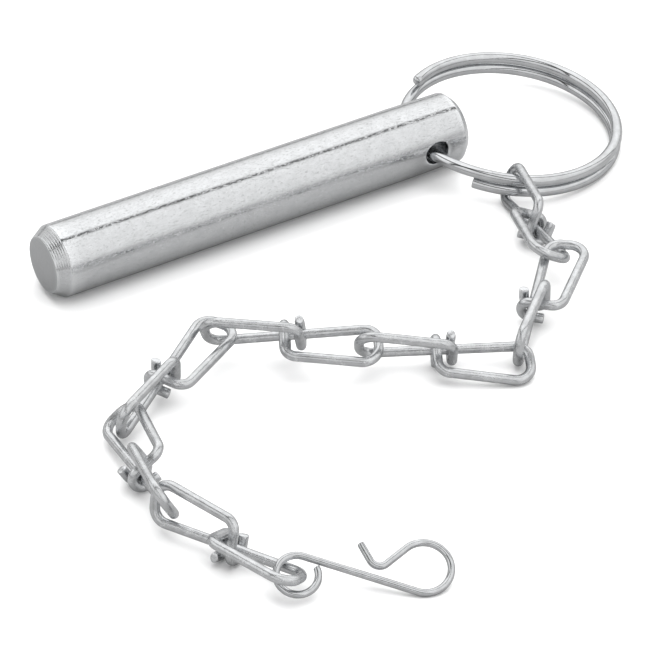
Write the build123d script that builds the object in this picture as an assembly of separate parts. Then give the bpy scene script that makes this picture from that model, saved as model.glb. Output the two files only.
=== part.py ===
from build123d import *
import math
import os

# Hitch pin lock: a plain round hitch pin, a split ring through its cross hole, seven
# knotted chain links and a spring wire clip, laid out at rest on a level surface.
#
# Frame: the origin is on the pin's axis at the middle of the shank, +X runs along the
# axis to the end that goes in first, and +Z is up. Sizes are in millimetres.

os.makedirs("parts", exist_ok=True)

# ---------------------------------------------------------------- driving values

# Pin: the shank is the full-diameter stretch, the rear end holds the cross hole
shank_diameter = 16.0
shank_length = 84.0
tip_chamfer_length = 2.9
tip_chamfer_depth = 1.8
rear_length = 14.7
rear_relief = 0.2
rear_chamfer = 1.5

# Cross hole, bored along Y
hole_diameter = 5.5
hole_from_end = 8.7
hole_lip = 0.2

# Split ring: two stacked coils, with a step between them where the wire is in the hole
ring_wire = 2.5
ring_mean_diameter = 46.8
ring_coil_gap = 0.3
ring_first_end = 130.0
ring_last_end = -136.0
ring_step_half = 60.0

# Where the ring lies: how far its wire sits off the hole's axis, and its three angles
ring_offset = 1.05
ring_drop = 0.45
ring_yaw = -7.0
ring_fall = 5.6
ring_roll = 3.5

# Chain links: one wire bent into two loops at right angles, hooked round itself between
chain_wire = 2.1
link_half_length = 17.3
loop_width = 8.6
knot_width = 6.1
hook_offset = 1.6
wrap_gap = 0.15
stub_length = 2.6
loop_end_lean = 0.6
loop_end_rise = 0.3
end_bend_radius = 2.9
back_bend_radius = 3.4
knot_bend_radius = 2.6

# Clip: a round eye, a straight leg, a bow that turns back to a throat, and a lead-in
clip_wire = 1.5
eye_mean_diameter = 8.2
eye_turn = 313.0
clip_leg_length = 22.9
bow_radius = 5.25
bow_turn = 238.0
clip_back_length = 5.2
throat_radius = 2.0
throat_turn = 103.0
lead_in_length = 4.2

# How the chain lies. Each link's X axis points back towards the ring. Its heading,
# pitch and roll are in degrees. It hooks the wire before it at the first distance
# along that wire's end bend and at the second along its own, with the slack between.
first_link_seat = -113.0
first_link_reach = 3.1
first_link_angles = (-99.0, -10.0, 117.0)
chain_layout = (
    ((-134.0, 12.5, 181.5), 3.4, 1.0, 2.4),
    ((153.0, 0.0, 205.5), 2.6, 1.2, 0.8),
    ((148.0, 6.0, 202.0), 3.4, 3.8, 1.4),
    ((-149.0, 13.5, 188.5), 3.0, 4.5, 1.4),
    ((-94.0, -3.5, 150.0), 3.4, 4.8, 2.1),
    ((-61.5, -1.0, 111.5), 2.4, 3.7, 2.2),
)
clip_angles = (-43.5, 12.0, -24.5)
clip_shift = 1.9
clip_slack = 3.3

# ---------------------------------------------------------------- worked-out values

shank_radius = shank_diameter / 2
hole_radius = hole_diameter / 2
ring_mean_radius = ring_mean_diameter / 2
eye_mean_radius = eye_mean_diameter / 2
tip_x = shank_length / 2 + tip_chamfer_length
rear_x = -shank_length / 2 - rear_length
hole_x = rear_x + hole_from_end
coil_pitch = ring_wire + ring_coil_gap
wrap_radius = chain_wire + wrap_gap
hook_bend_radius = wrap_radius - wrap_gap


# ---------------------------------------------------------------- helpers


def turned(angles):
    """The rotation for a heading about Z, then a pitch that lifts +X, then a roll."""
    heading, pitch, roll = angles
    return Rot(0, 0, heading) * Rot(0, -pitch, 0) * Rot(roll, 0, 0)


def place(frame, x, y, z):
    """A point given in a frame's own coordinates, as a point of the part."""
    return (frame * Pos(x, y, z)).position


def x_direction(frame):
    return Plane(frame).x_dir


def wire_solid(path, diameter):
    """A round wire along a path, cut square at both ends."""
    section = Plane(origin=path @ 0, z_dir=path % 0) * Circle(diameter / 2)
    return sweep(section, path=path)


def save(solid, name):
    solid.label = name
    export_step(solid, f"parts/{name}.step")


# ---------------------------------------------------------------- pin


def pin():
    rear_radius = shank_radius - rear_relief
    outline = Polyline(
        (tip_x, 0),
        (tip_x, shank_radius - tip_chamfer_depth),
        (shank_length / 2, shank_radius),
        (-shank_length / 2, shank_radius),
        (-shank_length / 2 - rear_relief, rear_radius),
        (rear_x + rear_chamfer, rear_radius),
        (rear_x, rear_radius - rear_chamfer),
        (rear_x, 0),
        close=True,
    )
    bar = revolve(make_face(outline), axis=Axis.X)
    hole = Rot(90, 0, 0) * Cylinder(hole_radius, shank_diameter * 2)
    mouth_edge = math.sqrt(rear_radius**2 - hole_radius**2) - hole_lip
    lip_height = shank_radius - mouth_edge
    lip = Cone(hole_radius, hole_radius + lip_height, lip_height)
    lip = Pos(0, 0, mouth_edge + lip_height / 2) * lip
    for side in (90, -90):
        hole += Rot(side, 0, 0) * lip
    return bar - Pos(hole_x, 0, 0) * hole


# ---------------------------------------------------------------- split ring


def step_corners(start, start_way, end, end_way):
    """The distance along both end tangents to the corners of a pair of tangent arcs."""
    across = end - start
    ways = start_way + end_way
    a = ways.dot(ways) - 4
    b = -2 * across.dot(ways)
    c = across.dot(across)
    return (-b - math.sqrt(b * b - 4 * a * c)) / (2 * a)


def ring_path():
    """Upper coil, the step down through the hole at 180 degrees, then the lower coil."""
    high = CenterArc(
        (0, 0, coil_pitch / 2),
        ring_mean_radius,
        ring_first_end,
        -(180 - ring_step_half + ring_first_end),
    )
    low_start = 180 - ring_step_half
    low = CenterArc(
        (0, 0, -coil_pitch / 2),
        ring_mean_radius,
        low_start,
        ring_last_end - low_start,
    )
    reach = step_corners(high @ 1, high % 1, low @ 0, low % 0)
    middle = ((high @ 1 + (high % 1) * reach) + (low @ 0 - (low % 0) * reach)) / 2
    down = TangentArc(high @ 1, middle, tangent=high % 1)
    onward = TangentArc(middle, low @ 0, tangent=down % 1)
    return Wire([high, down, onward, low])


def ring_frame():
    """The ring's own frame: centre of the ring, X away from the hole, Z through it."""
    hole = Pos(hole_x, 0, 0) * turned((180 + ring_yaw, -ring_fall, ring_roll))
    return hole * Pos(ring_mean_radius - ring_offset, 0, -ring_drop)


# ---------------------------------------------------------------- chain links


def loop_points():
    """One loop and its hook, as distances along X, along the loop and across it."""
    return [
        (link_half_length, 0, 0),
        (link_half_length + loop_end_lean, loop_width, loop_end_rise),
        (-hook_offset, knot_width, wrap_radius),
        (-hook_offset, -wrap_radius, wrap_radius),
        (-hook_offset, -wrap_radius, -wrap_radius),
        (-hook_offset, stub_length, -wrap_radius),
    ]


def link_path():
    """The first loop opens along +Y at the +X end, the second along -Z at the -X end."""
    near = [(x, along, -across) for x, along, across in loop_points()]
    far = [(-x, across, -along) for x, along, across in loop_points()]
    bends = [
        end_bend_radius,
        back_bend_radius,
        knot_bend_radius,
        hook_bend_radius,
        hook_bend_radius,
    ]
    return FilletPolyline(far[::-1] + near, radius=bends[::-1] + bends)


def near_end(frame, shift):
    return place(frame, link_half_length, shift, 0)


def far_end(frame, shift):
    return place(frame, -link_half_length, 0, -shift)


def pull(frame, next_frame):
    """The unit vector up the chain, half way between two neighbours' X axes."""
    return (x_direction(frame) + x_direction(next_frame)).normalized()


def first_link_frame():
    seat = math.radians(first_link_seat)
    centre = place(
        ring_frame(),
        ring_mean_radius * math.cos(seat),
        ring_mean_radius * math.sin(seat),
        0,
    )
    turn = turned(first_link_angles)
    offset = place(turn, link_half_length - first_link_reach, loop_width / 2, 0)
    return Pos(centre - offset) * turn


def next_link_frame(frame, angles, shift_there, shift_here, slack):
    turn = turned(angles)
    step = pull(frame, turn) * (chain_wire + slack)
    hooked = far_end(frame, shift_there) + step
    return Pos(hooked - near_end(turn, shift_here)) * turn


def link_frames():
    frames = [first_link_frame()]
    for layout in chain_layout:
        frames.append(next_link_frame(frames[-1], *layout))
    return frames


# ---------------------------------------------------------------- clip


def clip_path():
    """The eye's centre is at the origin and the leg runs along -X below it."""
    leg_start = Vector(0, -eye_mean_radius)
    leg_end = Vector(-clip_leg_length, -eye_mean_radius)
    eye = JernArc(leg_start, (1, 0), eye_mean_radius, eye_turn)
    leg = Line(leg_start, leg_end)
    bow = JernArc(leg_end, (-1, 0), bow_radius, bow_turn)
    back = Line(bow @ 1, bow @ 1 + (bow % 1) * clip_back_length)
    throat = JernArc(back @ 1, bow % 1, throat_radius, -throat_turn)
    lead_in = Line(throat @ 1, throat @ 1 + (throat % 1) * lead_in_length)
    return Wire([eye, leg, bow, back, throat, lead_in])


def clip_frame(last_link):
    turn = turned(clip_angles)
    gap = (chain_wire + clip_wire) / 2 + clip_slack
    hooked = far_end(last_link, clip_shift) + pull(last_link, turn) * gap
    return Pos(hooked - place(turn, eye_mean_radius, 0, 0)) * turn


# ---------------------------------------------------------------- the whole part

frames = link_frames()
clip_at = clip_frame(frames[-1])

if __name__ == "__main__":
    save(pin(), "pin")
    save(ring_frame() * wire_solid(ring_path(), ring_wire), "split_ring")
    link = wire_solid(link_path(), chain_wire)
    for number, frame in enumerate(frames, start=1):
        save(frame * link, f"link_{number}")
    save(clip_at * wire_solid(clip_path(), clip_wire), "clip")
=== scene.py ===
import math
from dataclasses import dataclass

import bmesh
import bpy
from mathutils import Matrix, Vector


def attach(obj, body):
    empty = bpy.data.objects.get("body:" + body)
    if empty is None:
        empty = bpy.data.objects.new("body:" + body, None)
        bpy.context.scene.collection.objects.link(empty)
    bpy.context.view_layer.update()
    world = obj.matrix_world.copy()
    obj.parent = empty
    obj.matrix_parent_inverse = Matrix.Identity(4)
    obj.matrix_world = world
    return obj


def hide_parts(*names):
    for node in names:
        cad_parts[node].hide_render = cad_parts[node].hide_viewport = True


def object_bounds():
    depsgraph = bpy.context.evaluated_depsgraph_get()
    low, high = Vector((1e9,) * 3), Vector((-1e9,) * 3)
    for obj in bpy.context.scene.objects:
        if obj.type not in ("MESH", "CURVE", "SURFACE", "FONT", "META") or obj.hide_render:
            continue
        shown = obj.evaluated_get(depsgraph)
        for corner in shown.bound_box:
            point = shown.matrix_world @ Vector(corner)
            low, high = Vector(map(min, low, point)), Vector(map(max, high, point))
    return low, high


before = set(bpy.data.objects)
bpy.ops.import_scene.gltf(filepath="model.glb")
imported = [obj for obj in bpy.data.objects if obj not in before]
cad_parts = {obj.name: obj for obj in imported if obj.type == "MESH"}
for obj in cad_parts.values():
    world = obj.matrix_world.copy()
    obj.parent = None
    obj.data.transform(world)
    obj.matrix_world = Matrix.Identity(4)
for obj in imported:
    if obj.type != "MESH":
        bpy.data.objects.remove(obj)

bl_info = {
    "name": "Hitch Pin Lock",
    "version": (1, 0, 0),
    "blender": (4, 5, 0),
    "location": "View3D > Sidebar > Hitch Pin",
    "description": "Builds a hitch pin with its split ring, knotted chain and spring clip",
    "category": "Add Mesh",
}

CAD_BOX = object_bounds()
MM = 0.001

# How finely the meshes are divided
ARC_STEP = math.radians(3)
FILLET_STEPS = 14
CORNER_STEPS = 5
MOUTH_STEPS = 8
SHANK_ROWS = 24
REAR_ROWS = 14
PIN_SIDES = 192
HOLE_SIDES = 96
WELD_DISTANCE = 0.004 * MM

# How strongly a wire's rings crowd at its ends, from 0 to 1, its least rounded size, and
# how many uneven patches there are to a metre
RING_CROWDING = 0.93
SMALLEST_SHARE = 0.04
UNEVEN_SCALE = 420.0

# Bends sharper than these stay as edges in the shading
WIRE_SHARP_ANGLE = math.radians(38)
PIN_SHARP_ANGLE = math.radians(32)

# How far wear reaches from an edge, and how deep the grooved tip face may lie
WORN_WIDTH = 0.5 * MM
FACE_DEPTH = 0.08 * MM


# ---------------------------------------------------------------- settings


def length(name, description, millimetres):
    """A size in millimetres, kept in metres."""
    return bpy.props.FloatProperty(
        name=name,
        description=description,
        default=millimetres * MM,
        precision=5,
        unit="LENGTH",
    )


def degrees(name, description, value):
    return bpy.props.FloatProperty(
        name=name,
        description=description,
        default=math.radians(value),
        subtype="ANGLE",
    )


def amount(name, description, value):
    return bpy.props.FloatProperty(name=name, description=description, default=value)


def colour(name, description, value):
    return bpy.props.FloatVectorProperty(
        name=name,
        description=description,
        default=value,
        size=3,
        min=0.0,
        max=1.0,
        subtype="COLOR",
    )


class PinSettings(bpy.types.PropertyGroup):
    """Sizes and plating of the round pin."""

    shank_diameter: length("Shank diameter", "Diameter of the full stretch", 16.0)
    shank_length: length("Shank length", "Length of the full-diameter stretch", 84.0)
    tip_chamfer_length: length("Tip chamfer length", "Along the axis", 2.9)
    tip_chamfer_depth: length("Tip chamfer depth", "Across the axis", 1.8)
    rear_length: length("Rear length", "The stretch that holds the cross hole", 14.7)
    rear_relief: length("Rear relief", "How much less the rear's radius is", 0.2)
    rear_chamfer: length("Rear chamfer", "Both ways", 1.5)
    hole_diameter: length("Hole diameter", "Cross hole", 5.5)
    hole_from_end: length("Hole from end", "Hole axis to the rear face", 8.7)
    hole_lip: length("Hole lip", "Depth of the broken edge at each mouth", 0.2)
    edge_round: length("Edge round", "Radius left on the turned edges", 0.22)
    groove_pitch: length("Groove pitch", "Distance between turned grooves", 0.42)
    groove_depth: length("Groove depth", "Depth of the turned grooves", 0.018)
    plating: colour("Plating", "Colour of the zinc plating", (0.70, 0.71, 0.72))


class RingSettings(bpy.types.PropertyGroup):
    """Sizes and place of the split ring."""

    wire: length("Wire", "Wire diameter", 2.5)
    mean_diameter: length("Mean diameter", "Of the coils", 46.8)
    coil_gap: length("Coil gap", "Between the two coils", 0.3)
    first_end: degrees("First end", "Where the upper coil starts", 130.0)
    last_end: degrees("Last end", "Where the lower coil stops", -136.0)
    step_half: degrees("Step half", "Half of the step between the coils", 60.0)
    offset: length("Offset", "Wire off the hole's axis, outwards", 1.05)
    drop: length("Drop", "Wire below the hole's axis", 0.45)
    yaw: degrees("Yaw", "Turn about the vertical", -7.0)
    fall: degrees("Fall", "How far the outer side is lower", 5.6)
    roll: degrees("Roll", "Lean to one side", 3.5)
    plating: colour("Plating", "Colour of the bright plating", (0.66, 0.67, 0.68))


class ChainSettings(bpy.types.PropertyGroup):
    """Sizes of a knotted link and how the first one sits on the ring."""

    wire: length("Wire", "Wire diameter", 2.1)
    half_length: length("Half length", "Knot to loop end", 17.3)
    loop_width: length("Loop width", "At the loop's end", 8.6)
    knot_width: length("Knot width", "Where the loop comes back to the knot", 6.1)
    hook_offset: length("Hook offset", "How far past the middle the wrap sits", 1.6)
    wrap_gap: length("Wrap gap", "Between the wire and what it wraps", 0.15)
    stub_length: length("Stub length", "What is left of the wire past the wrap", 2.6)
    end_lean: length("End lean", "How far the loop's end leans outwards", 0.6)
    end_rise: length("End rise", "How far the loop's end rises", 0.3)
    end_bend: length("End bend", "Radius", 2.9)
    back_bend: length("Back bend", "Radius", 3.4)
    knot_bend: length("Knot bend", "Radius", 2.6)
    plating: colour("Plating", "Colour of the satin zinc", (0.66, 0.67, 0.68))


class ClipSettings(bpy.types.PropertyGroup):
    """Sizes of the spring wire clip."""

    wire: length("Wire", "Wire diameter", 1.5)
    eye_diameter: length("Eye diameter", "Mean diameter of the round eye", 8.2)
    eye_turn: degrees("Eye turn", "How far round the eye goes", 313.0)
    leg_length: length("Leg length", "Eye to bow", 22.9)
    bow_radius: length("Bow radius", "Mean radius", 5.25)
    bow_turn: degrees("Bow turn", "How far round the bow goes", 238.0)
    back_length: length("Back length", "Bow to throat", 5.2)
    throat_radius: length("Throat radius", "Mean radius", 2.0)
    throat_turn: degrees("Throat turn", "How far the throat turns back", 103.0)
    lead_in: length("Lead in", "Straight end past the throat", 4.2)
    plating: colour("Plating", "Colour of the bright spring wire", (0.62, 0.63, 0.64))


class StageSettings(bpy.types.PropertyGroup):
    """Floor, light and camera."""

    floor_size: length("Floor size", "Side of the square floor", 6000.0)
    # The camera sees the floor in this colour; reflections and bounce light see a
    # painted-shade 0.40 of it
    floor_colour: colour("Floor colour", "Plain pale floor", (0.93, 0.93, 0.93))
    view_heading: degrees("View heading", "Direction from the part to the camera", 58.91)
    view_elevation: degrees("View elevation", "Camera above the horizon", 36.62)
    view_distance: length("View distance", "From the part's middle", 900.0)
    lens: amount("Lens", "Focal length for a 36 mm sensor", 239.2)
    sky_strength: amount("Sky strength", "Brightness of the soft surround", 1.2)


# ---------------------------------------------------------------- how the pieces lie

# Each link's X axis points back towards the ring. Its heading, pitch and roll are in
# degrees. The millimetres are where it hooks the wire before it, where along its own
# wire, and the slack between them.
FIRST_SEAT = -113.0
FIRST_REACH = 3.1
FIRST_ANGLES = (-99.0, -10.0, 117.0)
CHAIN_LAYOUT = (
    ((-134.0, 12.5, 181.5), 3.4, 1.0, 2.4),
    ((153.0, 0.0, 205.5), 2.6, 1.2, 0.8),
    ((148.0, 6.0, 202.0), 3.4, 3.8, 1.4),
    ((-149.0, 13.5, 188.5), 3.0, 4.5, 1.4),
    ((-94.0, -3.5, 150.0), 3.4, 4.8, 2.1),
    ((-61.5, -1.0, 111.5), 2.4, 3.7, 2.2),
)
CLIP_ANGLES = (-43.5, 12.0, -24.5)
CLIP_SHIFT = 1.9
CLIP_SLACK = 3.3


def turned(angles):
    """The rotation for a heading about Z, then a pitch that lifts +X, then a roll."""
    heading, pitch, roll = (math.radians(angle) for angle in angles)
    lifted = Matrix.Rotation(heading, 4, "Z") @ Matrix.Rotation(-pitch, 4, "Y")
    return lifted @ Matrix.Rotation(roll, 4, "X")


def moved(point):
    return Matrix.Translation(point)


def x_direction(place):
    return place.to_3x3() @ Vector((1, 0, 0))


def hole_x(pin):
    return -pin.shank_length / 2 - pin.rear_length + pin.hole_from_end


def ring_place(pin, ring):
    """The ring's own place: its centre, with X away from the hole and Z through it."""
    angles = (180 + math.degrees(ring.yaw), -math.degrees(ring.fall), math.degrees(ring.roll))
    hole = moved((hole_x(pin), 0, 0)) @ turned(angles)
    return hole @ moved((ring.mean_diameter / 2 - ring.offset, 0, -ring.drop))


def pull(place, next_place):
    """The unit vector up the chain, half way between two neighbours' X axes."""
    return (x_direction(place) + x_direction(next_place)).normalized()


def far_end(chain, place, shift):
    return place @ Vector((-chain.half_length, 0, -shift * MM))


def link_places(pin, ring, chain):
    """Where each link lies, from the ring on."""
    seat = math.radians(FIRST_SEAT)
    around = Vector((math.cos(seat), math.sin(seat), 0)) * ring.mean_diameter / 2
    turn = turned(FIRST_ANGLES)
    reach = Vector((chain.half_length - FIRST_REACH * MM, chain.loop_width / 2, 0))
    places = [moved(ring_place(pin, ring) @ around - turn @ reach) @ turn]
    for angles, shift_there, shift_here, slack in CHAIN_LAYOUT:
        last = places[-1]
        turn = turned(angles)
        hooked = far_end(chain, last, shift_there)
        hooked += pull(last, turn) * (chain.wire + slack * MM)
        near = turn @ Vector((chain.half_length, shift_here * MM, 0))
        places.append(moved(hooked - near) @ turn)
    return places


def clip_place(chain, clip, last):
    turn = turned(CLIP_ANGLES)
    gap = (chain.wire + clip.wire) / 2 + CLIP_SLACK * MM
    hooked = far_end(chain, last, CLIP_SHIFT) + pull(last, turn) * gap
    return moved(hooked - turn @ Vector((clip.eye_diameter / 2, 0, 0))) @ turn


# ---------------------------------------------------------------- wire routes


class Route:
    """A wire's centre line, drawn from a start along straight runs and round arcs."""

    def __init__(self, start, way, side):
        self.points = [Vector(start)]
        self.aim(way, side)

    def aim(self, way, side):
        self.way = Vector(way)
        self.side = Vector(side)

    def run(self, distance):
        self.points.append(self.points[-1] + self.way * distance)

    def bend(self, radius, turn):
        """An arc that bends towards side, or away from it if turn is negative."""
        inward = self.side if turn > 0 else -self.side
        size = abs(turn)
        way = self.way
        centre = self.points[-1] + inward * radius
        steps = max(2, math.ceil(size / ARC_STEP))
        for step in range(1, steps + 1):
            angle = size * step / steps
            out = way * math.sin(angle) - inward * math.cos(angle)
            self.points.append(centre + out * radius)
        self.way = way * math.cos(size) + inward * math.sin(size)
        inward = inward * math.cos(size) - way * math.sin(size)
        self.side = inward if turn > 0 else -inward

    def arc_to(self, end):
        """The arc that leaves along the present way and passes through end."""
        chord = end - self.points[-1]
        self.side = (chord - self.way * chord.dot(self.way)).normalized()
        half = self.way.angle(chord)
        self.bend(chord.length / 2 / math.sin(half), 2 * half)


def ring_route(ring):
    """Upper coil, the step down through the hole at 180 degrees, then the lower coil."""
    radius = ring.mean_diameter / 2
    height = (ring.wire + ring.coil_gap) / 2
    step = math.pi - ring.step_half

    def on_coil(angle, level):
        return Vector((math.cos(angle) * radius, math.sin(angle) * radius, level))

    def aim(angle):
        way = Vector((math.sin(angle), -math.cos(angle), 0))
        return way, Vector((-math.cos(angle), -math.sin(angle), 0))

    route = Route(on_coil(ring.first_end, height), *aim(ring.first_end))
    route.bend(radius, step + ring.first_end)
    start = route.points[-1]
    end = on_coil(step, -height)
    end_way, end_side = aim(step)
    ways = route.way + end_way
    across = end - start
    a = ways.dot(ways) - 4
    b = -2 * across.dot(ways)
    reach = (-b - math.sqrt(b * b - 4 * a * across.dot(across))) / (2 * a)
    middle = (start + route.way * reach + end - end_way * reach) / 2
    route.arc_to(middle)
    route.arc_to(end)
    route.aim(end_way, end_side)
    route.bend(radius, step - ring.last_end)
    return route.points


def clip_route(clip):
    """The eye's centre is at the origin and the leg runs along -X below it."""
    radius = clip.eye_diameter / 2
    corner = Vector((0, -radius, 0))
    eye = Route(corner, (1, 0, 0), (0, 1, 0))
    eye.bend(radius, clip.eye_turn)
    rest = Route(corner, (-1, 0, 0), (0, -1, 0))
    rest.run(clip.leg_length)
    rest.bend(clip.bow_radius, clip.bow_turn)
    rest.run(clip.back_length)
    rest.bend(clip.throat_radius, -clip.throat_turn)
    rest.run(clip.lead_in)
    return eye.points[:0:-1] + rest.points


# ---------------------------------------------------------------- node helpers


def put(tree, socket, value):
    """Links a socket to another node's output, or sets its value."""
    if isinstance(value, bpy.types.NodeSocket):
        tree.links.new(value, socket)
    else:
        socket.default_value = value


def add(tree, kind, inputs=None, **settings):
    """Adds a node with its settings and inputs, by name or number."""
    made = tree.nodes.new(kind)
    for name, value in settings.items():
        setattr(made, name, value)
    for key, value in (inputs or {}).items():
        put(tree, made.inputs[key], value)
    return made


def maths(tree, operation, *values, clamp=False):
    made = add(tree, "ShaderNodeMath", operation=operation, use_clamp=clamp)
    for socket, value in zip(made.inputs, values):
        put(tree, socket, value)
    return made.outputs[0]


def vector_maths(tree, operation, *values):
    made = add(tree, "ShaderNodeVectorMath", operation=operation)
    for key, value in zip((0, 1), values):
        put(tree, made.inputs[key], value)
    return made.outputs["Value" if operation in ("DOT_PRODUCT", "LENGTH") else "Vector"]


def scaled(tree, vector, factor):
    made = add(tree, "ShaderNodeVectorMath", {0: vector, "Scale": factor}, operation="SCALE")
    return made.outputs["Vector"]


def combined(tree, x, y, z):
    return add(tree, "ShaderNodeCombineXYZ", {"X": x, "Y": y, "Z": z}).outputs[0]


def spread(tree, value, low, high, to_low=0.0, to_high=1.0):
    """Maps a value from low..high to another range, held at its ends."""
    inputs = {
        "Value": value,
        "From Min": low,
        "From Max": high,
        "To Min": to_low,
        "To Max": to_high,
    }
    return add(tree, "ShaderNodeMapRange", inputs, clamp=True).outputs["Result"]


def new_tree(name, kind, inputs, outputs):
    """A node group with its named inputs (name, socket type, default) and outputs."""
    tree = bpy.data.node_groups.new(name, kind)
    for label, socket_type, default in inputs:
        socket = tree.interface.new_socket(label, in_out="INPUT", socket_type=socket_type)
        if default is not None:
            socket.default_value = default
    for label, socket_type in outputs:
        tree.interface.new_socket(label, in_out="OUTPUT", socket_type=socket_type)
    start = tree.nodes.new("NodeGroupInput")
    end = tree.nodes.new("NodeGroupOutput")
    return tree, start.outputs, end.inputs


# ---------------------------------------------------------------- wire geometry nodes

FLOAT = "NodeSocketFloat"
INTEGER = "NodeSocketInt"
GEOMETRY = "NodeSocketGeometry"
VECTOR = "NodeSocketVector"

WIRE_INPUTS = (
    ("Wire Diameter", FLOAT, 0.002),
    ("Rings", INTEGER, 480),
    ("Sides", INTEGER, 20),
    ("First Rounding", FLOAT, 0.0001),
    ("Last Rounding", FLOAT, 0.0001),
    ("Cut Length", FLOAT, 0.001),
    ("Cut Squeeze", FLOAT, 0.0),
    ("Cut Slant", FLOAT, 0.0),
    ("Unevenness", FLOAT, 0.0),
    ("Seed", FLOAT, 0.0),
    ("Material", "NodeSocketMaterial", None),
)


def positioned(tree, geometry, position):
    inputs = {"Geometry": geometry, "Position": position}
    return add(tree, "GeometryNodeSetPosition", inputs).outputs[0]


def index(tree):
    return add(tree, "GeometryNodeInputIndex").outputs[0]


def open_line(tree, count):
    """A curve of this many points, still to be put in place."""
    line = add(tree, "GeometryNodeMeshLine", {"Count": count})
    return add(tree, "GeometryNodeMeshToCurve", {"Mesh": line.outputs[0]}).outputs[0]


def stored(tree, geometry, name, value, data_type="FLOAT"):
    """Keeps a value on each point under a name."""
    inputs = {"Geometry": geometry, "Name": name, "Value": value}
    made = add(tree, "GeometryNodeStoreNamedAttribute", data_type=data_type, domain="POINT")
    for key, value in inputs.items():
        socket = next(s for s in made.inputs if s.name == key and s.enabled)
        put(tree, socket, value)
    return made.outputs["Geometry"]


def kept(tree, name, data_type="FLOAT"):
    made = add(tree, "GeometryNodeInputNamedAttribute", {"Name": name}, data_type=data_type)
    return next(s for s in made.outputs if s.name == "Attribute" and s.enabled)


def rounding(tree, distance, size):
    """How much of the full radius is left at a distance from a rounded end."""
    share = maths(tree, "DIVIDE", distance, maths(tree, "MAXIMUM", size, 1e-6))
    lack = maths(tree, "SUBTRACT", 1.0, maths(tree, "MINIMUM", share, 1.0))
    left = maths(tree, "SUBTRACT", 1.0, maths(tree, "MULTIPLY", lack, lack))
    return maths(tree, "MAXIMUM", maths(tree, "SQRT", left), SMALLEST_SHARE)


def drawn_wire_tree():
    """A round wire along a path: rings crowd at its two ends, which are rounded or cut."""
    tree, given, result = new_tree(
        "Drawn Wire",
        "GeometryNodeTree",
        (("Path", GEOMETRY, None), *WIRE_INPUTS),
        (("Geometry", GEOMETRY),),
    )
    total = add(tree, "GeometryNodeCurveLength", {"Curve": given["Path"]}).outputs[0]
    last = maths(tree, "SUBTRACT", given["Rings"], 1.0)
    share = maths(tree, "DIVIDE", index(tree), last)
    wave = maths(tree, "SINE", maths(tree, "MULTIPLY", share, 2 * math.pi))
    crowded = maths(tree, "MULTIPLY_ADD", wave, -RING_CROWDING / (2 * math.pi), share)
    distance = maths(tree, "MULTIPLY", crowded, total)
    from_last = maths(tree, "SUBTRACT", total, distance)
    sample = add(
        tree,
        "GeometryNodeSampleCurve",
        {"Curves": given["Path"], "Length": distance},
        mode="LENGTH",
    )
    curve = positioned(tree, open_line(tree, given["Rings"]), sample.outputs["Position"])

    ends = maths(tree, "MINIMUM", distance, from_last)
    near = spread(tree, ends, 0.0, given["Cut Length"], 1.0, 0.0)
    soft = maths(tree, "MULTIPLY", near, near)
    size = maths(
        tree,
        "MULTIPLY",
        rounding(tree, distance, given["First Rounding"]),
        rounding(tree, from_last, given["Last Rounding"]),
    )
    for name, value in (("along", distance), ("near_end", soft), ("size", size)):
        curve = stored(tree, curve, name, value)
    position = add(tree, "GeometryNodeInputPosition").outputs[0]
    normal = add(tree, "GeometryNodeInputNormal").outputs["Normal"]
    tangent = add(tree, "GeometryNodeInputTangent").outputs[0]
    for name, value in (("centre", position), ("across", normal), ("way", tangent)):
        curve = stored(tree, curve, name, value, "FLOAT_VECTOR")

    radius = maths(tree, "MULTIPLY", given["Wire Diameter"], 0.5)
    circle = add(
        tree,
        "GeometryNodeCurvePrimitiveCircle",
        {"Resolution": given["Sides"], "Radius": radius},
    ).outputs[0]
    around = add(tree, "GeometryNodeSplineParameter").outputs["Factor"]
    circle = stored(tree, circle, "around", around)
    mesh = add(
        tree,
        "GeometryNodeCurveToMesh",
        {"Curve": curve, "Profile Curve": circle, "Fill Caps": True},
    ).outputs[0]

    centre, across, way = (
        kept(tree, name, "FLOAT_VECTOR") for name in ("centre", "across", "way")
    )
    offset = vector_maths(tree, "SUBTRACT", position, centre)
    uneven = add(
        tree,
        "ShaderNodeTexNoise",
        {"Vector": position, "W": given["Seed"], "Scale": UNEVEN_SCALE, "Detail": 2.0},
        noise_dimensions="4D",
    ).outputs[0]
    uneven = maths(tree, "SUBTRACT", uneven, 0.5)
    grown = maths(tree, "MULTIPLY_ADD", uneven, given["Unevenness"], kept(tree, "size"))
    offset = scaled(tree, offset, grown)
    side = vector_maths(tree, "DOT_PRODUCT", offset, across)
    squeeze = maths(tree, "MULTIPLY", kept(tree, "near_end"), given["Cut Squeeze"])
    pinch = maths(tree, "MULTIPLY", maths(tree, "MULTIPLY", side, squeeze), -1.0)
    slant = maths(tree, "MULTIPLY", kept(tree, "near_end"), given["Cut Slant"])
    shear = maths(tree, "MULTIPLY", side, slant)
    placed = vector_maths(tree, "ADD", centre, offset)
    placed = vector_maths(tree, "ADD", placed, scaled(tree, across, pinch))
    placed = vector_maths(tree, "ADD", placed, scaled(tree, way, shear))
    mesh = positioned(tree, mesh, placed)
    for name in ("centre", "across", "way", "size"):
        mesh = add(
            tree, "GeometryNodeRemoveAttribute", {"Geometry": mesh, "Name": name}
        ).outputs[0]

    angle = add(tree, "GeometryNodeInputMeshEdgeAngle").outputs["Unsigned Angle"]
    sharp = maths(tree, "GREATER_THAN", angle, WIRE_SHARP_ANGLE)
    mesh = add(
        tree,
        "GeometryNodeSetShadeSmooth",
        {"Geometry": mesh, "Selection": sharp, "Shade Smooth": False},
        domain="EDGE",
    ).outputs[0]
    mesh = add(tree, "GeometryNodeRealizeInstances", {"Geometry": mesh}).outputs[0]
    mesh = add(
        tree, "GeometryNodeSetMaterial", {"Geometry": mesh, "Material": given["Material"]}
    ).outputs[0]
    put(tree, result["Geometry"], mesh)
    return tree


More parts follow.
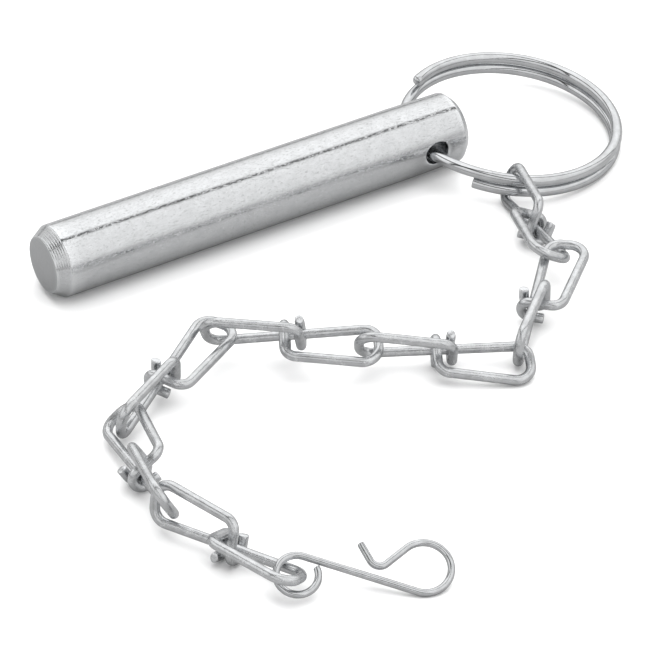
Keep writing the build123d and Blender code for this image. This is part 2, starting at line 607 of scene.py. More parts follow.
LINK_INPUTS = (
    ("Half Length", FLOAT, 0.017),
    ("Loop Width", FLOAT, 0.0086),
    ("Knot Width", FLOAT, 0.0061),
    ("Hook Offset", FLOAT, 0.0016),
    ("Wrap Radius", FLOAT, 0.00225),
    ("Stub Length", FLOAT, 0.0026),
    ("End Lean", FLOAT, 0.0006),
    ("End Rise", FLOAT, 0.0003),
    ("End Bend", FLOAT, 0.0029),
    ("Back Bend", FLOAT, 0.0034),
    ("Knot Bend", FLOAT, 0.0026),
    ("Hook Bend", FLOAT, 0.0021),
)


# These two follow from the wire, and the others are the chain's own sizes
WORKED_OUT = ("Wrap Radius", "Hook Bend")


def chosen(tree, data_type, values):
    """The value for each point's index."""
    made = add(tree, "GeometryNodeIndexSwitch", data_type=data_type)
    while len(made.index_switch_items) < len(values):
        made.index_switch_items.new()
    put(tree, made.inputs[0], index(tree))
    for socket, value in zip(made.inputs[1:], values):
        put(tree, socket, value)
    return made.outputs[0]


def knotted_link_tree(wire_tree):
    """One wire bent into two loops at right angles, each hooked round the middle."""
    tree, given, result = new_tree(
        "Knotted Link",
        "GeometryNodeTree",
        (*LINK_INPUTS, *WIRE_INPUTS),
        (("Geometry", GEOMETRY),),
    )
    wrap = given["Wrap Radius"]
    under = maths(tree, "MULTIPLY", wrap, -1.0)
    back = maths(tree, "MULTIPLY", given["Hook Offset"], -1.0)
    end = maths(tree, "ADD", given["Half Length"], given["End Lean"])
    half = (
        (given["Half Length"], 0.0, 0.0),
        (end, given["Loop Width"], given["End Rise"]),
        (back, given["Knot Width"], wrap),
        (back, under, wrap),
        (back, under, under),
        (back, given["Stub Length"], under),
    )
    near = []
    far = []
    for x, along, across in half:
        turned_x = maths(tree, "MULTIPLY", x, -1.0)
        turned_across = maths(tree, "MULTIPLY", across, -1.0)
        turned_along = maths(tree, "MULTIPLY", along, -1.0)
        near.append(combined(tree, x, along, turned_across))
        far.append(combined(tree, turned_x, across, turned_along))
    corners = far[::-1] + near
    bends = [given["End Bend"], given["Back Bend"], given["Knot Bend"]]
    bends += [given["Hook Bend"], given["Hook Bend"], 0.0]
    radii = bends[::-1] + bends

    path = positioned(tree, open_line(tree, len(corners)), chosen(tree, "VECTOR", corners))
    path = add(
        tree,
        "GeometryNodeFilletCurve",
        {"Curve": path, "Count": FILLET_STEPS, "Radius": chosen(tree, "FLOAT", radii)},
        mode="POLY",
    ).outputs[0]
    wire = add(tree, "GeometryNodeGroup", node_tree=wire_tree)
    put(tree, wire.inputs["Path"], path)
    for name, _, _ in WIRE_INPUTS:
        put(tree, wire.inputs[name], given[name])
    put(tree, result["Geometry"], wire.outputs[0])
    return tree


def grown(name, tree, values, path=None):
    """Runs a geometry node tree with these named values and returns its plain mesh."""
    if path is None:
        base = bpy.data.meshes.new(name + "_base")
    else:
        base = bpy.data.curves.new(name + "_base", "CURVE")
        base.dimensions = "3D"
        spline = base.splines.new("POLY")
        spline.points.add(len(path) - 1)
        for point, place in zip(spline.points, path):
            point.co = (*place, 1.0)
    holder = bpy.data.objects.new(name + "_base", base)
    bpy.context.scene.collection.objects.link(holder)
    modifier = holder.modifiers.new("Nodes", "NODES")
    modifier.node_group = tree
    sockets = {s.name: s for s in tree.interface.items_tree if s.in_out == "INPUT"}
    for label, value in values.items():
        modifier[sockets[label].identifier] = value
    depsgraph = bpy.context.evaluated_depsgraph_get()
    mesh = bpy.data.meshes.new_from_object(
        holder.evaluated_get(depsgraph), preserve_all_data_layers=True, depsgraph=depsgraph
    )
    mesh.name = name
    bpy.data.objects.remove(holder)
    return mesh


# ---------------------------------------------------------------- finishes


def noise(tree, vector, scale, detail=4.0, roughness=0.5, distortion=0.0):
    inputs = {
        "Vector": vector,
        "Scale": scale,
        "Detail": detail,
        "Roughness": roughness,
        "Distortion": distortion,
    }
    return add(tree, "ShaderNodeTexNoise", inputs).outputs[0]


def stretched(tree, vector, factors):
    return vector_maths(tree, "MULTIPLY", vector, factors)


def drawn_grain_group():
    """Fine lines left by turning or drawing: they run along the vector's X."""
    tree, given, result = new_tree(
        "Drawn Grain",
        "ShaderNodeTree",
        (("Vector", VECTOR, None), ("Lines", FLOAT, 9.0), ("Contrast", FLOAT, 1.0)),
        (("Grain", FLOAT), ("Streaks", FLOAT)),
    )
    long = stretched(tree, given["Vector"], (0.06, 1.0, 1.0))
    wide = stretched(tree, given["Vector"], (0.12, 0.35, 0.35))
    fine = noise(tree, long, given["Lines"], 6.0, 0.7)
    broad = noise(tree, wide, given["Lines"], 3.0)
    centred = maths(tree, "SUBTRACT", fine, 0.5)
    sharp = maths(tree, "MULTIPLY_ADD", centred, given["Contrast"], 0.5, clamp=True)
    put(tree, result["Grain"], sharp)
    put(tree, result["Streaks"], spread(tree, broad, 0.38, 0.66))
    return tree


def fine_scratches_group():
    """Sparse thin scratches in three slanting directions."""
    tree, given, result = new_tree(
        "Fine Scratches",
        "ShaderNodeTree",
        (("Vector", VECTOR, None), ("Scale", FLOAT, 1.0), ("Amount", FLOAT, 0.5)),
        (("Mask", FLOAT),),
    )
    masks = []
    for turn, shift in ((0.35, 0.0), (-0.8, 7.3), (1.9, 3.1)):
        placed = add(
            tree,
            "ShaderNodeMapping",
            {
                "Vector": given["Vector"],
                "Location": (shift, shift, shift),
                "Rotation": (turn * 0.6, turn * 0.4, turn),
            },
        ).outputs[0]
        drawn = stretched(tree, placed, (0.05, 1.6, 1.6))
        lines = noise(tree, drawn, given["Scale"], 2.0, 0.4, 0.3)
        level = spread(tree, given["Amount"], 0.0, 1.0, 0.76, 0.56)
        above = maths(tree, "SUBTRACT", lines, level)
        masks.append(spread(tree, above, 0.0, 0.05))
    both = maths(tree, "MAXIMUM", masks[0], masks[1])
    put(tree, result["Mask"], maths(tree, "MAXIMUM", both, masks[2]))
    return tree


def plating_mottle_group():
    """Cloudy tone and small bright or dark specks of a zinc coat."""
    tree, given, result = new_tree(
        "Plating Mottle",
        "ShaderNodeTree",
        (("Vector", VECTOR, None), ("Scale", FLOAT, 1.0), ("Specks", FLOAT, 0.4)),
        (("Cloud", FLOAT), ("Speck", FLOAT), ("Pit", FLOAT)),
    )
    cloud = noise(tree, given["Vector"], given["Scale"], 5.0, 0.6)
    fine = maths(tree, "MULTIPLY", given["Scale"], 9.0)
    drawn_out = stretched(tree, given["Vector"], (0.45, 1.0, 1.0))
    specks = noise(tree, drawn_out, fine, 3.0, 0.7)
    other = vector_maths(tree, "ADD", drawn_out, (3.7, 1.9, 8.1))
    pits = noise(tree, other, fine, 3.0, 0.75)
    level = spread(tree, given["Specks"], 0.0, 1.0, 0.74, 0.54)
    put(tree, result["Cloud"], spread(tree, cloud, 0.32, 0.68))
    put(tree, result["Speck"], spread(tree, maths(tree, "SUBTRACT", specks, level), 0.0, 0.06))
    put(tree, result["Pit"], spread(tree, maths(tree, "SUBTRACT", pits, level), 0.0, 0.06))
    return tree


def worn_edge_group():
    """Where an edge is rubbed bright, broken up by noise."""
    tree, given, result = new_tree(
        "Worn Edge",
        "ShaderNodeTree",
        (("Edge", FLOAT, 0.0), ("Vector", VECTOR, None), ("Amount", FLOAT, 0.6)),
        (("Mask", FLOAT),),
    )
    broken = spread(tree, noise(tree, given["Vector"], 3.0, 5.0, 0.7), 0.3, 0.7, 0.35, 1.0)
    worn = maths(tree, "MULTIPLY", given["Edge"], broken)
    put(tree, result["Mask"], maths(tree, "MULTIPLY", worn, given["Amount"], clamp=True))
    return tree


EFFECTS = {}


def effect(tree, name, inputs):
    return add(tree, "ShaderNodeGroup", inputs, node_tree=EFFECTS[name]).outputs


def make_effects():
    EFFECTS["grain"] = drawn_grain_group()
    EFFECTS["scratches"] = fine_scratches_group()
    EFFECTS["mottle"] = plating_mottle_group()
    EFFECTS["wear"] = worn_edge_group()


def mixed(tree, factor, first, second):
    inputs = {"Factor": factor}
    made = add(tree, "ShaderNodeMix", inputs, data_type="RGBA")
    put(tree, made.inputs[6], first)
    put(tree, made.inputs[7], second)
    return made.outputs[2]


def shade(colour_value, factor):
    return tuple(min(1.0, channel * factor) for channel in colour_value[:3]) + (1.0,)


def new_material(name):
    material = bpy.data.materials.new(name)
    material.use_nodes = True
    tree = material.node_tree
    tree.nodes.clear()
    return material, tree


def millimetre_vector(tree):
    """Object coordinates counted in millimetres."""
    place = add(tree, "ShaderNodeTexCoord").outputs["Object"]
    return scaled(tree, place, 1 / MM)


def attribute(tree, name):
    return add(tree, "ShaderNodeAttribute", attribute_name=name).outputs["Fac"]


def wire_vector(tree, wire):
    """X runs along the wire and Y and Z go round it, counted in millimetres."""
    radius = wire / 2 / MM
    angle = maths(tree, "MULTIPLY", attribute(tree, "around"), 2 * math.pi)
    round_y = maths(tree, "MULTIPLY", maths(tree, "COSINE", angle), radius)
    round_z = maths(tree, "MULTIPLY", maths(tree, "SINE", angle), radius)
    along = maths(tree, "MULTIPLY", attribute(tree, "along"), 1 / MM)
    return combined(tree, along, round_y, round_z)


@dataclass
class Finish:
    """One plated metal. Tones multiply the plating's colour, and each (share, tone)
    pair is how strongly a mark shows and what tone it has. Scales are per millimetre."""

    name: str
    line_scale: float
    line_contrast: float
    mottle_scale: float
    specks: float
    cloud_tone: float
    streak: tuple
    pit: tuple
    roughness: float
    line_roughness: float
    cloud_roughness: float
    bump_depth: float
    bump_strength: float
    scratch_scale: float = 1.0
    scratch_amount: float = 0.0
    scratch_roughness: float = 0.0
    speck: tuple = (0.0, 1.0)
    line_height: float = 1.0
    scratch_height: float = 0.0
    pit_height: float = 0.0
    speck_height: float = 0.0
    cut_end: tuple = (0.0, 1.0)
    end_face: tuple = (0.0, 1.0)
    end_face_roughness: float = 0.0
    worn: tuple = (0.0, 1.0)
    worn_roughness: float = 0.0


TURNED_ZINC = Finish(
    "Turned_Zinc_Plate",
    line_scale=4.0,
    line_contrast=1.8,
    mottle_scale=0.34,
    specks=0.74,
    cloud_tone=0.04,
    streak=(0.30, 0.82),
    pit=(0.30, 0.40),
    speck=(0.25, 1.4),
    roughness=0.07,
    line_roughness=0.08,
    cloud_roughness=0.02,
    scratch_scale=1.4,
    scratch_amount=0.55,
    line_height=0.16,
    scratch_height=-0.5,
    pit_height=-0.7,
    speck_height=0.7,
    bump_depth=0.03,
    bump_strength=0.7,
    end_face=(0.55, 0.55),
    end_face_roughness=0.22,
    worn=(0.8, 1.35),
    worn_roughness=-0.05,
)
POLISHED_RING = Finish(
    "Polished_Ring_Wire",
    line_scale=4.0,
    line_contrast=1.2,
    mottle_scale=0.25,
    specks=0.30,
    cloud_tone=0.08,
    streak=(0.30, 0.72),
    pit=(0.60, 0.30),
    roughness=0.03,
    line_roughness=0.06,
    cloud_roughness=0.04,
    scratch_scale=1.8,
    scratch_amount=0.35,
    scratch_roughness=0.12,
    scratch_height=-0.7,
    bump_depth=0.015,
    bump_strength=0.35,
)
SATIN_ZINC = Finish(
    "Satin_Zinc_Wire",
    line_scale=5.0,
    line_contrast=1.5,
    mottle_scale=0.45,
    specks=0.40,
    cloud_tone=0.14,
    streak=(0.30, 0.78),
    pit=(0.60, 0.40),
    speck=(0.60, 1.4),
    roughness=0.15,
    line_roughness=0.10,
    cloud_roughness=0.08,
    scratch_scale=2.0,
    scratch_amount=0.40,
    scratch_height=-0.8,
    pit_height=-0.8,
    bump_depth=0.02,
    bump_strength=0.6,
    cut_end=(0.5, 1.25),
)
BRIGHT_SPRING = Finish(
    "Bright_Spring_Wire",
    line_scale=6.0,
    line_contrast=1.2,
    mottle_scale=0.5,
    specks=0.32,
    cloud_tone=0.10,
    streak=(0.25, 0.75),
    pit=(0.50, 0.40),
    roughness=0.07,
    line_roughness=0.07,
    cloud_roughness=0.06,
    bump_depth=0.015,
    bump_strength=0.4,
)


def plated_metal(finish, plating, wire=None):
    """The lines follow a wire of this diameter, or run along X where there is none."""
    material, tree = new_material(finish.name)
    place = millimetre_vector(tree)
    run = wire_vector(tree, wire) if wire else place
    lines = {"Vector": run, "Lines": finish.line_scale, "Contrast": finish.line_contrast}
    grain = effect(tree, "grain", lines)
    mottled = {"Vector": place, "Scale": finish.mottle_scale, "Specks": finish.specks}
    mottle = effect(tree, "mottle", mottled)
    low = shade(plating, 1 - finish.cloud_tone)
    tone = mixed(tree, mottle["Cloud"], low, shade(plating, 1 + finish.cloud_tone))
    roughness = maths(
        tree, "MULTIPLY_ADD", grain["Grain"], finish.line_roughness, finish.roughness
    )
    roughness = maths(tree, "MULTIPLY_ADD", mottle["Cloud"], finish.cloud_roughness, roughness)
    height = maths(tree, "MULTIPLY", grain["Grain"], finish.line_height)
    marks = [
        (grain["Streaks"], finish.streak, 0.0, 0.0),
        (mottle["Pit"], finish.pit, 0.0, finish.pit_height),
        (mottle["Speck"], finish.speck, 0.0, finish.speck_height),
    ]
    if finish.scratch_amount:
        scratched = {"Scale": finish.scratch_scale, "Amount": finish.scratch_amount}
        mask = effect(tree, "scratches", {"Vector": run, **scratched})["Mask"]
        marks.append((mask, (0.0, 1.0), finish.scratch_roughness, finish.scratch_height))
    if finish.cut_end[0]:
        mask = spread(tree, attribute(tree, "near_end"), 0.3, 0.95)
        marks.append((mask, finish.cut_end, 0.0, 0.0))
    if finish.worn[0]:
        share, worn_tone = finish.worn
        edges = {"Edge": attribute(tree, "edge"), "Vector": place, "Amount": share}
        mask = effect(tree, "wear", edges)["Mask"]
        marks.append((mask, (1.0, worn_tone), finish.worn_roughness, 0.0))
        mask = attribute(tree, "face")
        marks.append((mask, finish.end_face, finish.end_face_roughness, 0.0))
    for mask, (share, mark_tone), rougher, higher in marks:
        if share:
            shown = maths(tree, "MULTIPLY", mask, share)
            tone = mixed(tree, shown, tone, shade(plating, mark_tone))
        if rougher:
            roughness = maths(tree, "MULTIPLY_ADD", mask, rougher, roughness)
        if higher:
            height = maths(tree, "MULTIPLY_ADD", mask, higher, height)
    bump = add(tree, "ShaderNodeBump", {"Height": height}).outputs["Normal"]
    bump.node.inputs["Strength"].default_value = finish.bump_strength
    bump.node.inputs["Distance"].default_value = finish.bump_depth * MM
    inputs = {"Base Color": tone, "Metallic": 1.0, "Roughness": roughness, "Normal": bump}
    shader = add(tree, "ShaderNodeBsdfPrincipled", inputs)
    add(tree, "ShaderNodeOutputMaterial", {"Surface": shader.outputs[0]})
    return material


def floor_with_painted_reflection_shade(floor_colour):
    material, tree = new_material("Floor_With_Painted_Reflection_Shade")
    place = add(tree, "ShaderNodeTexCoord").outputs["Object"]
    cloud = spread(tree, noise(tree, place, 3.0, 3.0), 0.3, 0.7)
    tone = mixed(tree, cloud, shade(floor_colour, 0.995), shade(floor_colour, 1.0))
    seen = add(tree, "ShaderNodeLightPath").outputs["Is Camera Ray"]
    # Painted shade: rays other than the camera's, such as the metal's reflections and bounce
    # light, see the floor at 0.40 of its colour, which darkens the metal's lower band and
    # undersides
    tone = mixed(tree, seen, shade(floor_colour, 0.40), tone)
    shader = add(
        tree, "ShaderNodeBsdfPrincipled", {"Base Color": tone, "Roughness": 0.9}
    )
    add(tree, "ShaderNodeOutputMaterial", {"Surface": shader.outputs[0]})
    return material


# ---------------------------------------------------------------- pieces


def finished(name, mesh, body, slot, *nodes):
    """Puts a plain mesh in the scene, riding on its body in place of its CAD nodes."""
    piece = bpy.data.objects.new(name, mesh)
    bpy.context.scene.collection.objects.link(piece)
    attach(piece, body)
    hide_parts(*nodes)
    return piece


def wire_piece(name, place, node, slot, values, path=None):
    """Grows a wire along a path, or a knotted link where there is none."""
    tree = bpy.data.node_groups["Drawn Wire" if path else "Knotted Link"]
    mesh = grown(name, tree, values, path)
    mesh.transform(place)
    finished(name, mesh, node, slot, node)


def rounded_corner(before, corner, after, radius):
    """Points of the arc that rounds one corner of a flat outline."""
    to_before = (before - corner).normalized()
    to_after = (after - corner).normalized()
    half = to_before.angle(to_after) / 2
    reach = radius / math.tan(half)
    centre = corner + (to_before + to_after).normalized() * radius / math.sin(half)
    first = (corner + to_before * reach - centre).normalized()
    last = (corner + to_after * reach - centre).normalized()
    shares = [step / CORNER_STEPS for step in range(CORNER_STEPS + 1)]
    return [centre + first.slerp(last, share) * radius for share in shares]


def grooved_run(start, end, inward, pitch, depth):
    """Points along a turned face, with a shallow groove at every pitch."""
    along = end - start
    count = max(1, round(along.length / pitch))
    points = []
    for groove in range(count):
        for share, fall in ((0.0, 0.0), (0.3, 0.35), (0.5, 1.0), (0.7, 0.35)):
            place = start + along * ((groove + share) / count)
            points.append(place + inward * depth * fall)
    return points + [end]


def pin_outline(pin):
    """The pin's outline as (distance along the axis, radius), from tip to rear."""
    radius = pin.shank_diameter / 2
    rear = radius - pin.rear_relief
    shank_end = pin.shank_length / 2
    tip = shank_end + pin.tip_chamfer_length
    back = -shank_end - pin.rear_length
    corners = [
        Vector((tip, 0)),
        Vector((tip, radius - pin.tip_chamfer_depth)),
        Vector((shank_end, radius)),
        Vector((-shank_end, radius)),
        Vector((back + pin.rear_chamfer, rear)),
        Vector((back, rear - pin.rear_chamfer)),
        Vector((back, 0)),
    ]
    small = pin.edge_round
    radii = (small, small * 3, small, small * 2, small)
    runs = []
    for before, corner, after, size in zip(corners, corners[1:], corners[2:], radii):
        runs.append(rounded_corner(before, corner, after, size))
    face = grooved_run(
        corners[0], runs[0][0], Vector((-1, 0)), pin.groove_pitch, pin.groove_depth
    )
    slope = runs[1][0] - runs[0][-1]
    into = Vector((slope.y, -slope.x)).normalized()
    if into.y > 0:
        into = -into
    chamfer = grooved_run(
        runs[0][-1], runs[1][0], into, pin.groove_pitch * 1.3, pin.groove_depth * 2.4
    )
    outline = face[1:] + runs[0][1:-1] + chamfer + runs[1][1:]
    shank = runs[2][0].x - runs[1][-1].x
    for row in range(1, SHANK_ROWS):
        outline.append(Vector((runs[1][-1].x + shank * row / SHANK_ROWS, radius)))
    outline += runs[2]
    taper = runs[3][0] - runs[2][-1]
    for row in range(1, REAR_ROWS):
        outline.append(runs[2][-1] + taper * row / REAR_ROWS)
    outline += runs[3] + runs[4]
    back_face = rear - pin.rear_chamfer - pin.edge_round
    outline += [Vector((back, back_face * share)) for share in (0.8, 0.55, 0.3)]
    return outline, tip, back


def lathe(outline, tip, back, sides, name):
    """Turns an outline about X into a closed mesh with its faces pointing outwards."""
    work = bmesh.new()
    rings = []
    for along, radius in outline:
        ring = []
        for side in range(sides):
            angle = 2 * math.pi * side / sides
            place = (along, radius * math.cos(angle), radius * math.sin(angle))
            ring.append(work.verts.new(place))
        rings.append(ring)
    for ring, following in zip(rings, rings[1:]):
        for side in range(sides):
            after = (side + 1) % sides
            work.faces.new((ring[side], ring[after], following[after], following[side]))
    for centre_x, ring in ((tip, rings[0]), (back, rings[-1])):
        centre = work.verts.new((centre_x, 0, 0))
        for side in range(sides):
            work.faces.new((centre, ring[side], ring[(side + 1) % sides]))
    bmesh.ops.recalc_face_normals(work, faces=work.faces)
    mesh = bpy.data.meshes.new(name)
    work.to_mesh(mesh)
    work.free()
    return mesh


def hole_cutter(pin):
    """The cross hole's shape along Y: a bore with a rounded flare at each mouth."""
    radius = pin.hole_diameter / 2
    outer = pin.shank_diameter / 2 - pin.rear_relief
    mouth = math.sqrt(outer**2 - radius**2) - pin.hole_lip
    outline = []
    for step in range(MOUTH_STEPS + 1):
        angle = math.pi / 2 * step / MOUTH_STEPS
        rise = (1 - math.cos(angle)) * (outer - mouth + pin.hole_lip)
        outline.append(Vector((mouth + math.sin(angle) * (outer - mouth), radius + rise)))
    outline.append(outline[-1] + Vector((pin.hole_lip * 3, pin.hole_lip * 6)))
    outline = [Vector((-place.x, place.y)) for place in outline[::-1]] + outline
    end = outline[-1].x
    mesh = lathe(outline, -end, end, HOLE_SIDES, "Cross_Hole_Cutter")
    mesh.transform(Matrix.Rotation(math.pi / 2, 4, "Z"))
    mesh.transform(moved((hole_x(pin), 0, 0)))
    return mesh


def pin_mesh(pin):
    outline, tip, back = pin_outline(pin)
    base = lathe(outline, tip, back, PIN_SIDES, "Pin_Base")
    body = bpy.data.objects.new("pin_base", base)
    cutter = bpy.data.objects.new("pin_cutter", hole_cutter(pin))
    for thing in (body, cutter):
        bpy.context.scene.collection.objects.link(thing)
    cut = body.modifiers.new("Cross hole", "BOOLEAN")
    cut.operation = "DIFFERENCE"
    cut.solver = "EXACT"
    cut.object = cutter
    depsgraph = bpy.context.evaluated_depsgraph_get()
    mesh = bpy.data.meshes.new_from_object(body.evaluated_get(depsgraph), depsgraph=depsgraph)
    for thing in (body, cutter):
        bpy.data.objects.remove(thing)
    mesh.name = "Turned_Pin"
    mesh.materials.clear()
    work = bmesh.new()
    work.from_mesh(mesh)
    bmesh.ops.triangulate(work, faces=[face for face in work.faces if len(face.verts) > 4])
    bmesh.ops.remove_doubles(work, verts=work.verts, dist=WELD_DISTANCE)
    bmesh.ops.dissolve_degenerate(work, edges=work.edges, dist=WELD_DISTANCE)
    bmesh.ops.recalc_face_normals(work, faces=work.faces)
    work.to_mesh(mesh)
    work.free()
    mesh.shade_smooth()
    mesh.set_sharp_from_angle(angle=PIN_SHARP_ANGLE)
    return mesh


def mark_pin(mesh, pin):
    """Keeps how near each point is to a worn edge, and whether it is on an end face."""
    radius = pin.shank_diameter / 2
    shank_end = pin.shank_length / 2
    tip = shank_end + pin.tip_chamfer_length
    back = -shank_end - pin.rear_length
    edges = (
        (tip, radius - pin.tip_chamfer_depth),
        (shank_end, radius),
        (back + pin.rear_chamfer, radius - pin.rear_relief),
        (back, radius - pin.rear_relief - pin.rear_chamfer),
    )
    edge = mesh.attributes.new("edge", "FLOAT", "POINT")
    face = mesh.attributes.new("face", "FLOAT", "POINT")
    centre = hole_x(pin)
    for number, vertex in enumerate(mesh.vertices):
        x, y, z = vertex.co
        out = math.hypot(y, z)
        near = min(math.hypot(x - along, out - size) for along, size in edges)
        if out > radius - pin.rear_relief - pin.hole_lip * 6:
            mouth = abs(math.hypot(x - centre, z) - pin.hole_diameter / 2)
            near = min(near, mouth)
        edge.data[number].value = math.exp(-((near / WORN_WIDTH) ** 2))
        on_face = abs(x - tip) < FACE_DEPTH and out < radius - pin.tip_chamfer_depth
        face.data[number].value = 1.0 if on_face else 0.0


class HITCH_OT_pin(bpy.types.Operator):
    """Turns the pin and bores its cross hole"""

    bl_idname = "hitch.pin"
    bl_label = "Make Pin"

    def execute(self, context):
        pin = context.scene.hitch_pin
        mesh = pin_mesh(pin)
        mark_pin(mesh, pin)
        mesh.materials.append(plated_metal(TURNED_ZINC, pin.plating))
        finished("Turned_Pin", mesh, "pin", "zinc_plated_pin", "pin")
        return {"FINISHED"}


class HITCH_OT_ring(bpy.types.Operator):
    """Winds the split ring through the pin's cross hole"""

    bl_idname = "hitch.ring"
    bl_label = "Make Split Ring"

    def execute(self, context):
        ring = context.scene.hitch_ring
        values = {
            "Wire Diameter": ring.wire,
            "Rings": 760,
            "Sides": 36,
            "First Rounding": ring.wire * 0.45,
            "Last Rounding": ring.wire * 0.08,
            "Cut Length": ring.wire * 0.8,
            "Cut Squeeze": 0.0,
            "Cut Slant": 0.0,
            "Unevenness": 0.006,
            "Seed": 3.0,
            "Material": plated_metal(POLISHED_RING, ring.plating, ring.wire),
        }
        place = ring_place(context.scene.hitch_pin, ring)
        path = ring_route(ring)
        wire_piece("Split_Ring", place, "split_ring", "polished_ring", values, path)
        return {"FINISHED"}


class HITCH_OT_chain(bpy.types.Operator):
    """Bends the knotted links and hooks each one to its neighbour"""

    bl_idname = "hitch.chain"
    bl_label = "Make Chain"

    def execute(self, context):
        scene = context.scene
        chain = scene.hitch_chain
        knotted_link_tree(bpy.data.node_groups["Drawn Wire"])
        bent = [label for label, _, _ in LINK_INPUTS if label not in WORKED_OUT]
        values = {
            **{label: getattr(chain, label.lower().replace(" ", "_")) for label in bent},
            "Wrap Radius": chain.wire + chain.wrap_gap,
            "Hook Bend": chain.wire,
            "Wire Diameter": chain.wire,
            "Rings": 460,
            "Sides": 24,
            "First Rounding": chain.wire * 0.10,
            "Last Rounding": chain.wire * 0.10,
            "Cut Length": chain.wire * 0.85,
            "Material": plated_metal(SATIN_ZINC, chain.plating, chain.wire),
        }
        places = link_places(scene.hitch_pin, scene.hitch_ring, chain)
        for number, place in enumerate(places, start=1):
            values["Seed"] = number * 5.3
            values["Unevenness"] = 0.02
            values["Cut Squeeze"] = 0.22 + 0.05 * (number % 3)
            values["Cut Slant"] = 0.30 - 0.12 * (number % 4)
            node = f"link_{number}"
            wire_piece(f"Chain_Link_{number}", place, node, "chain_wire", values)
        return {"FINISHED"}


class HITCH_OT_clip(bpy.types.Operator):
    """Bends the spring wire clip and hangs it on the last link"""

    bl_idname = "hitch.clip"
    bl_label = "Make Clip"

    def execute(self, context):
        scene = context.scene
        chain = scene.hitch_chain
        clip = scene.hitch_clip
        values = {
            "Wire Diameter": clip.wire,
            "Rings": 420,
            "Sides": 28,
            "First Rounding": clip.wire * 0.12,
            "Last Rounding": clip.wire * 0.2,
            "Cut Length": clip.wire,
            "Cut Squeeze": 0.1,
            "Cut Slant": 0.1,
            "Unevenness": 0.01,
            "Seed": 41.0,
            "Material": plated_metal(BRIGHT_SPRING, clip.plating, clip.wire),
        }
        last = link_places(scene.hitch_pin, scene.hitch_ring, chain)[-1]
        place = clip_place(chain, clip, last)
        wire_piece("Spring_Clip", place, "clip", "spring_clip", values, clip_route(clip))
        return {"FINISHED"}


# ---------------------------------------------------------------- floor, light, camera


def sky_bands(tree, first, second, bands):
    """Brightness by the angle from the first direction up and over to its opposite."""
    angle = maths(tree, "ARCTAN2", second, first)
    share = maths(tree, "DIVIDE", angle, math.pi, clamp=True)
    ramp = add(tree, "ShaderNodeValToRGB", {"Fac": share})
    stops = ramp.color_ramp.elements
    while len(stops) < len(bands):
        stops.new(1.0)
    for stop, (degree, level) in zip(stops, bands):
        stop.position = degree / 180
        stop.color = (level, level, level, 1.0)
    return ramp.outputs["Color"]


def studio_sky(scene):
    """A soft surround of broad bright panels with narrow dark gaps between them."""
    world = bpy.data.worlds.new("Studio_Sky")
    scene.world = world
    world.use_nodes = True
    tree = world.node_tree
    tree.nodes.clear()
    way = add(tree, "ShaderNodeTexCoord").outputs["Generated"]
    parts = add(tree, "ShaderNodeSeparateXYZ", {0: way}).outputs
    front = sky_bands(tree, parts["Y"], parts["Z"], FRONT_TO_BACK)
    side = sky_bands(tree, parts["X"], parts["Z"], SIDE_TO_SIDE)
    level = vector_maths(tree, "MULTIPLY", front, side)
    background = add(tree, "ShaderNodeBackground", {"Color": level})
    background.inputs["Strength"].default_value = scene.hitch_stage.sky_strength
    add(tree, "ShaderNodeOutputWorld", {"Surface": background.outputs[0]})


def softbox(scene, name, place, aim, size, power):
    lamp = bpy.data.lights.new(name, "AREA")
    lamp.shape = "RECTANGLE"
    lamp.size = size[0]
    lamp.size_y = size[1]
    lamp.energy = power
    holder = bpy.data.objects.new(name, lamp)
    holder.location = place
    holder.rotation_euler = (aim - place).to_track_quat("-Z", "Y").to_euler()
    holder.visible_glossy = False
    scene.collection.objects.link(holder)


class HITCH_OT_stage(bpy.types.Operator):
    """Sets out the floor, the soft light and the camera"""

    bl_idname = "hitch.stage"
    bl_label = "Make Stage"

    def execute(self, context):
        scene = context.scene
        stage = scene.hitch_stage
        low, high = CAD_BOX
        middle = VIEW_AIM * MM
        half = stage.floor_size / 2
        mesh = bpy.data.meshes.new("Floor")
        corners = [(-half, -half), (half, -half), (half, half), (-half, half)]
        points = [(middle.x + x, middle.y + y, low.z) for x, y in corners]
        mesh.from_pydata(points, [], [(0, 1, 2, 3)])
        mesh.materials.append(floor_with_painted_reflection_shade(stage.floor_colour))
        floor = bpy.data.objects.new("Floor", mesh)
        scene.collection.objects.link(floor)

        studio_sky(scene)
        flat = Vector((math.cos(stage.view_heading), math.sin(stage.view_heading), 0))
        side = Vector((-flat.y, flat.x, 0))
        for name, (towards, across, up), size, power in SOFTBOXES:
            place = middle + flat * towards + side * across + Vector((0, 0, up))
            softbox(scene, name, place, middle, size, power)

        back = flat * math.cos(stage.view_elevation)
        back.z = math.sin(stage.view_elevation)
        lens = bpy.data.cameras.new("Camera")
        lens.lens = stage.lens
        lens.sensor_width = 36.0
        lens.clip_start = 0.05
        lens.clip_end = 20.0
        camera = bpy.data.objects.new("Camera", lens)
        camera.location = middle + back * stage.view_distance
        camera.rotation_euler = (-back).to_track_quat("-Z", "Y").to_euler()
        scene.collection.objects.link(camera)
        scene.camera = camera
        scene.view_settings.view_transform = "Standard"
        scene.view_settings.exposure = 0.0
        return {"FINISHED"}


# Each soft light's name, its place towards the camera, across and up from the part,
# its size, all in metres, and its power in watts
SOFTBOXES = (
    ("Softbox_Top", (0.0, 0.0, 0.9), (1.0, 1.0), 7.0),
    ("Softbox_Back", (-0.8, 0.2, 0.7), (1.2, 0.5), 3.0),
    ("Softbox_Left", (0.3, 0.8, 0.5), (0.5, 0.6), 1.5),
)

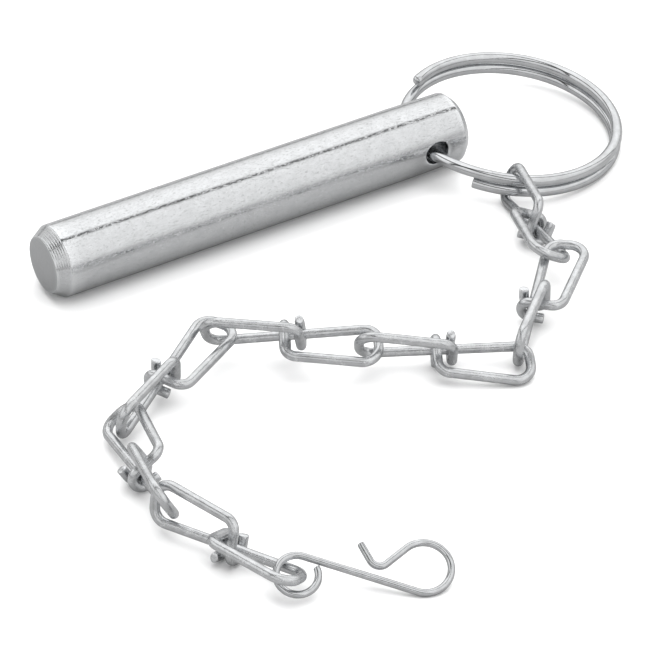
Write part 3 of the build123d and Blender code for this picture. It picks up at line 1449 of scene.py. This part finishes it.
# The point on the floor that the camera looks at, in millimetres
VIEW_AIM = Vector((-0.3, 39.2, -8.0))

# How bright the surround is, by degrees up from the front and over to the back
FRONT_TO_BACK = (
    (0, 0.62),
    (8, 0.80),
    (60, 0.90),
    (84, 0.95),
    (89, 0.06),
    (94, 0.06),
    (99, 1.08),
    (140, 1.05),
    (168, 0.80),
    (180, 0.22),
)

# The same from the tip's side over to the ring's side
SIDE_TO_SIDE = (
    (0, 0.25),
    (14, 0.70),
    (50, 1.00),
    (58, 0.08),
    (66, 0.08),
    (74, 1.05),
    (145, 1.00),
    (180, 0.55),
)


# ---------------------------------------------------------------- add-on


class HITCH_PT_panel(bpy.types.Panel):
    """Lists the pieces and their sizes"""

    bl_idname = "HITCH_PT_panel"
    bl_label = "Hitch Pin Lock"
    bl_space_type = "VIEW_3D"
    bl_region_type = "UI"
    bl_category = "Hitch Pin"

    def draw(self, context):
        for name, (operator, settings) in GROUPS.items():
            box = self.layout.box()
            box.operator(operator.bl_idname)
            values = getattr(context.scene, name)
            for label in settings.__annotations__:
                box.prop(values, label)


GROUPS = {
    "hitch_pin": (HITCH_OT_pin, PinSettings),
    "hitch_ring": (HITCH_OT_ring, RingSettings),
    "hitch_chain": (HITCH_OT_chain, ChainSettings),
    "hitch_clip": (HITCH_OT_clip, ClipSettings),
    "hitch_stage": (HITCH_OT_stage, StageSettings),
}


def register():
    for name, (operator, settings) in GROUPS.items():
        bpy.utils.register_class(settings)
        bpy.utils.register_class(operator)
        setattr(bpy.types.Scene, name, bpy.props.PointerProperty(type=settings))
    bpy.utils.register_class(HITCH_PT_panel)


def unregister():
    bpy.utils.unregister_class(HITCH_PT_panel)
    for name, (operator, settings) in reversed(GROUPS.items()):
        delattr(bpy.types.Scene, name)
        bpy.utils.unregister_class(operator)
        bpy.utils.unregister_class(settings)


def main():
    register()
    make_effects()
    drawn_wire_tree()
    bpy.ops.hitch.pin()
    bpy.ops.hitch.ring()
    bpy.ops.hitch.chain()
    bpy.ops.hitch.clip()
    bpy.ops.hitch.stage()


if __name__ == "__main__":
    main()
